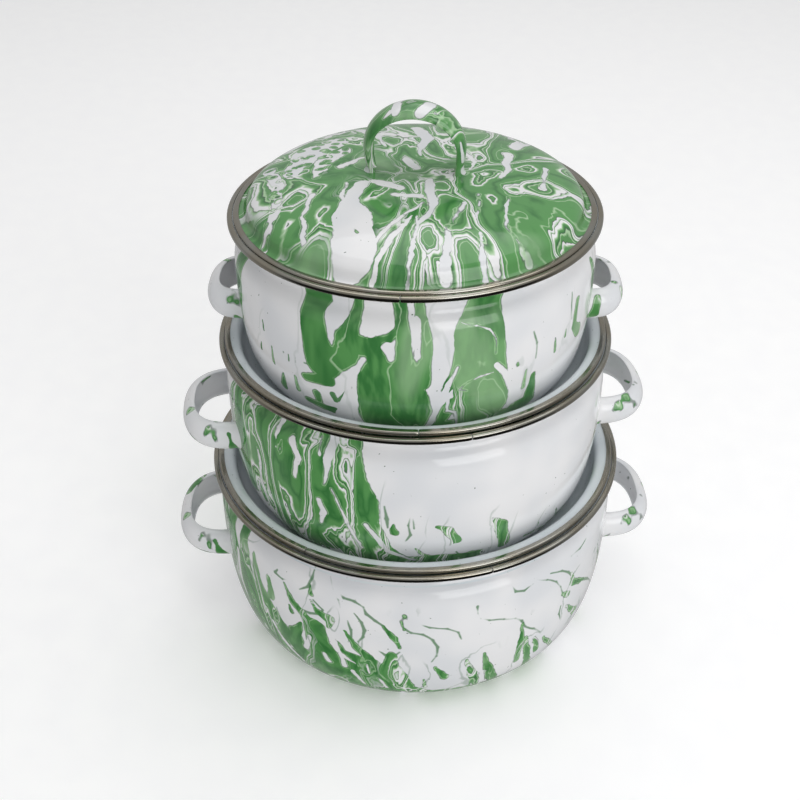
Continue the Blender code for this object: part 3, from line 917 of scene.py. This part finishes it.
def lid_enamel(pot):
    """Green poured over the whole dome, running outwards, with white left in patches."""
    g = Graph(pot.size + "_lid_marbled_enamel")
    place = object_place(g, (0, 0, pot.plane))
    spot = warped(g, place, g.vector("MULTIPLY", place, (1, 1, 0)), 7, 2.6)
    field = NEAR
    for shape in LID_WHITE + LID_LACE:
        field = stroke(g, spot, shape, field, cut=True)
    for shape in LID_DROPS:
        field = stroke(g, spot, shape, field)
    lace = FAR
    for shape in LID_LACE:
        lace = stroke(g, spot, shape, lace)
    cells = g.node("TexVoronoi", voronoi_dimensions="2D")
    cells.inputs["Scale"].default_value = LACE_CELLS
    g.feed(cells.inputs["Vector"], spot)
    drops = g.times(g.math("SUBTRACT", 0.36, cells.outputs["Distance"]), 6)
    field = g.math("SMOOTH_MAX", field, g.math("MINIMUM", lace, drops), 0.5)
    rich = FAR
    for shape in LID_RICH:
        rich = stroke(g, spot, shape, rich)
    x, y, _ = g.split(place)
    outwards = g.join(x, y)
    away = g.vector("LENGTH", outwards)
    radial = g.vector("SCALE", outwards, scale=g.math("DIVIDE", 115, g.math("ADD", away, 60)))
    grain = g.vector("ADD", radial, g.join(0, 0, g.times(away, 0.25)))
    busy = g.math("MULTIPLY_ADD", g.band(rich, -8, 4), 0.6, 0.35)
    glaze(g, place, grain, field, busy, LID_CYCLES)
    return g.material


def plain_enamel(name, low, high):
    """White enamel: slightly uneven in tone, with pinholes and faint orange peel."""
    g = Graph(name)
    place = object_place(g, (0, 0, 0))
    tone = g.noise(place, 0.02, 2)[0]
    speck = g.noise(place, 0.8, 1)[0]
    colour = g.mix(g.band(tone, 0.3, 0.7), low, high)
    colour = g.mix(g.band(speck, 0.76, 0.78), colour, OUTLINE)
    sheen = g.noise(place, 0.1, 2)[0]
    g.shade(base_color=colour, roughness=g.math("MULTIPLY_ADD", sheen, 0.08, 0.07))
    g.shade(ior=1.52, coat_weight=0.3, coat_roughness=0.03)
    g.bump(g.noise(place, 0.2, 2)[0], 0.00010, 0.5)
    return g.material


def dripped_enamel(name, centre, shapes, cover, spread):
    """Handle enamel: drops and runs of green on white, or of white on green where cover is above 0."""
    g = Graph(name)
    place = object_place(g, centre)
    spot = warped(g, place, place, 3, 1)
    field = cover
    for shape in shapes:
        field = blot(g, spot, field, *shape[-4:], cut=shape[0] == 0)
    spots = g.math("MULTIPLY_ADD", g.noise(place, 0.11, 1)[0], spread, -0.62 * spread - 0.6)
    field = g.math("SMOOTH_MAX", field, spots, 0.6)
    glaze(g, place, g.vector("MULTIPLY", place, (1, 1, 0.4)), field, HANDLE_BUSY)
    return g.material


def rim_steel(pot):
    """Rolled stainless strip: brushed round the rim, with scratches and slow changes of tone."""
    g = Graph(pot.size + "_rim_rolled_steel")
    place = object_place(g, (0, 0, pot.plane))
    x, y, z = g.split(place)
    angle = g.times(g.math("ARCTAN2", x, g.math("ABSOLUTE", y)), 40)
    across = g.times(g.vector("LENGTH", g.join(x, y)), 9)
    brushed = g.join(g.times(angle, 0.12), across, g.times(z, 9))
    grain = g.noise(brushed, 1, 3, 0.6)[0]
    tone = g.noise(place, 0.035, 2)[0]
    smear = g.noise(place, 0.25, 2)[0]
    colour = g.mix(g.band(tone, 0.35, 0.65), STEEL, STEEL_WARM)
    colour = g.mix(g.times(g.band(grain, 0.55, 0.75), 0.35), colour, STEEL_DARK)
    rough = g.math("MULTIPLY_ADD", grain, 0.16, g.times(smear, 0.12))
    g.shade(base_color=colour, metallic=1, roughness=g.math("ADD", rough, 0.03))
    g.bump(grain, 0.00003, 0.5)
    return g.material


def table_finish():
    """Matt pale floor with a faint grain."""
    g = Graph("pale_floor")
    place = object_place(g, (0, 0, 0))
    grain = g.noise(place, 0.05, 3)[0]
    g.shade(base_color=g.mix(g.band(grain, 0.3, 0.7), FLOOR, FLOOR_SHADE), roughness=0.9)
    g.shade(emission_color=FLOOR, emission_strength=FLOOR_GLOW)
    return g.material


# ---- pieces

def lid_place(pot):
    """Placing of a lid's section: its rim plane, turned over unless it is upright."""
    turn = Matrix.Identity(4) if pot.upright else Matrix.Rotation(math.pi, 4, "X")
    return Matrix.Translation((0.0, 0.0, pot.plane)) @ turn


def add_piece(piece, node, slot, *materials):
    """Give a piece its finish, and put it in its CAD node's place."""
    for material in materials:
        piece.data.materials.append(material)
    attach(piece, "_".join(node.split("_")[:2]))
    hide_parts(node)


def wavy_wall(pot):
    """How uneven the wall is, by radius and height: true at the rim and the base."""
    height = pot.top - pot.base

    def amount(radius, up):
        if radius <= pot.radius * 0.7:
            return 0.0
        return WALL_WAVE * math.sin(math.pi * min(max(up / height, 0.0), 1.0)) ** 2

    return amount


def build_body(pot, outside, inside):
    section, inner = body_section(pot)
    place = Matrix.Translation((0.0, 0.0, pot.base))
    piece = turned(pot.size + "_pot_enamelled_body", section, inner, place, wavy_wall(pot))
    add_piece(piece, pot.size + "_pot_body", "pot_enamel", inside, outside)


def build_shell(pot, outside, inside):
    section, outer = lid_section(pot)
    piece = turned(pot.size + "_lid_enamelled_shell", section, outer, lid_place(pot))
    add_piece(piece, pot.size + "_lid_shell", "lid_enamel", outside, inside)


def build_rings(pot, steel, pot_seam, lid_seam):
    for part, outer, wide, tall, seam, height in (
            ("pot", pot.rim, POT_RING_WIDE, pot.ring_tall, pot_seam, pot.top - pot.ring_tall / 2),
            ("lid", pot.lid_rim, LID_RING_WIDE, pot.lid_ring_tall, lid_seam, pot.plane)):
        bead = bead_section(outer, wide, tall)
        level = Matrix.Translation((0.0, 0.0, height))
        piece = ring(f"{pot.size}_{part}_rolled_rim", bead, math.radians(seam), level)
        add_piece(piece, f"{pot.size}_{part}_rim_ring", "rim_steel", steel)


def loop_frame(pot, side):
    """Centre height and placing of a pot handle, from its CAD box."""
    low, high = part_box(f"{pot.size}_pot_{side}_handle")
    turn = math.radians(HANDLE_TURN[pot.size]) + (math.pi if side == "left" else 0.0)
    height = (low[2] + high[2]) / 2
    place = Matrix.Translation((0.0, 0.0, height)) @ Matrix.Rotation(turn, 4, "Z")
    return height, place


def build_loop(pot, side, finish):
    """Pressed loop handle, its ends spread and fused onto the wall."""
    reach, wide = HANDLE_SIZE[pot.size]
    height, place = loop_frame(pot, side)
    outer = neck_section(pot, 0.0) + wall_section(pot, 0.0, 48)
    root = pot.radius * BELLY
    curve = 2 / LOOP_FULLNESS
    track = []
    for step in range(LOOP_STEPS + 1):
        angle = math.pi * step / LOOP_STEPS
        out = root - 0.004 + (reach - root + 0.004) * power(math.sin(angle), curve)
        across = math.copysign(power(abs(math.cos(angle)), curve), math.cos(angle)) * wide / 2
        if out > root - 0.001 - across * across / (2 * root) + 0.0025:
            track.append((out, across, 1.0))

    def contact(across, sideways):
        wall = radius_at(outer, height + sideways - pot.base)
        return math.sqrt(max(wall * wall - across * across, 1e-6))

    name = f"{pot.size}_pot_{side}_pressed_loop"
    piece = strap(name, track, contact, LOOP_TALL, LOOP_DEPTH, STRAP, place)
    add_piece(piece, f"{pot.size}_pot_{side}_handle", "handle_enamel", finish)


def build_arch(pot, finish):
    """Arched lid handle, its narrow feet spread and fused onto the dome."""
    dome = dome_section(pot, 0.0, 60)
    half_span = pot.radius * ARCH_HALF_SPAN
    top = pot.radius * ARCH_TOP
    spring = pot.radius * ARCH_SPRING
    track = [(pot.radius * out, half_span * across, scale) for out, across, scale in ARCH_FEET]
    for step in range(LOOP_STEPS + 1):
        angle = math.pi * step / LOOP_STEPS
        scale = ARCH_NARROW + (1 - ARCH_NARROW) * math.sin(angle)
        track.append((spring + (top - spring) * math.sin(angle), half_span * math.cos(angle), scale))
    track += [(out, -across, scale) for out, across, scale in track[1::-1]]

    def contact(across, sideways):
        return height_at(dome, math.hypot(across, sideways))

    turn = math.radians(LID_TURN[pot.size])
    up = Matrix(((0, 1, 0, 0), (0, 0, 1, 0), (1, 0, 0, 0), (0, 0, 0, 1)))
    place = lid_place(pot) @ Matrix.Rotation(turn, 4, "Z") @ up
    piece = strap(pot.size + "_lid_pressed_arch", track, contact, ARCH_WIDE, ARCH_DEPTH, STRAP, place)
    add_piece(piece, pot.size + "_lid_handle", "handle_enamel", finish)


# ---- studio

def add_floor():
    bm = bmesh.new()
    bmesh.ops.create_circle(bm, cap_ends=True, segments=96, radius=FLOOR_RADIUS)
    floor = finish_mesh("studio_floor", bm)
    floor.data.materials.append(table_finish())
    floor.visible_glossy = False


def add_lamp(name, place, wide, tall, watts):
    data = bpy.data.lights.new(name, "AREA")
    data.shape = "RECTANGLE"
    data.size = wide
    data.size_y = tall
    data.energy = watts
    lamp = bpy.data.objects.new(name, data)
    lamp.location = place
    lamp.rotation_euler = (Vector(LAMP_TARGET) - Vector(place)).to_track_quat("-Z", "Y").to_euler()
    bpy.context.scene.collection.objects.link(lamp)


def add_world():
    """Bright above and behind, and dark only far below, which the steel shows as dark bands."""
    world = bpy.data.worlds.new("studio")
    world.use_nodes = True
    tree = world.node_tree
    background = tree.nodes["Background"]

    def calculate(operation, *values):
        made = tree.nodes.new("ShaderNodeMath")
        made.operation = operation
        for socket, value in zip(made.inputs, values):
            if isinstance(value, bpy.types.NodeSocket):
                tree.links.new(value, socket)
            else:
                socket.default_value = value
        return made.outputs[0]

    coordinates = tree.nodes.new("ShaderNodeTexCoord")
    split = tree.nodes.new("ShaderNodeSeparateXYZ")
    tree.links.new(coordinates.outputs["Generated"], split.inputs[0])
    behind = calculate("MULTIPLY_ADD", split.outputs["Y"], 0.7, -0.15)
    level = calculate("MAXIMUM", split.outputs["Z"], behind)
    ramp = tree.nodes.new("ShaderNodeValToRGB")
    tree.links.new(calculate("MULTIPLY_ADD", level, 0.5, 0.5), ramp.inputs[0])
    tree.links.new(ramp.outputs[0], background.inputs[0])
    elements = ramp.color_ramp.elements
    elements.new(0.5)
    for element, (position, value) in zip(elements, WORLD_STOPS):
        element.position = position
        element.color = (value, value, value, 1.0)
    background.inputs[1].default_value = WORLD_STRENGTH
    bpy.context.scene.world = world


def add_camera():
    data = bpy.data.cameras.new("camera")
    data.lens = CAMERA_LENS
    data.sensor_width = CAMERA_SENSOR
    camera = bpy.data.objects.new("camera", data)
    camera.location = CAMERA_PLACE
    camera.rotation_euler = Euler([math.radians(angle) for angle in CAMERA_TURN])
    bpy.context.scene.collection.objects.link(camera)
    bpy.context.scene.camera = camera


# ---- the set

def main():
    white = plain_enamel("white_enamel_inside", INSIDE, INSIDE_SHADE)
    outsides = {size: pot_enamel(POTS[size], **pour) for size, pour in POT_POUR.items()}
    for size, pot in POTS.items():
        steel = rim_steel(pot)
        build_body(pot, outsides[size], white)
        build_shell(pot, lid_enamel(pot), white)
        build_rings(pot, steel, *RING_SEAMS[size])
        for side in ("left", "right"):
            centre = [(a + b) / 2 for a, b in zip(*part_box(f"{size}_pot_{side}_handle"))]
            name = f"{size}_{side}_handle_enamel"
            build_loop(pot, side, dripped_enamel(name, centre, HANDLE_RUNS[size, side], FAR, 8.0))
        centre = [(a + b) / 2 for a, b in zip(*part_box(size + "_lid_handle"))]
        build_arch(pot, dripped_enamel(size + "_lid_handle_enamel", centre, ARCH_RUNS, ARCH_COVER, 0.0))
    add_floor()
    add_world()
    for lamp in LAMPS:
        add_lamp(*lamp)
    add_camera()
    bpy.context.scene.view_settings.view_transform = "Standard"


main()
bpy.context.view_layer.update()
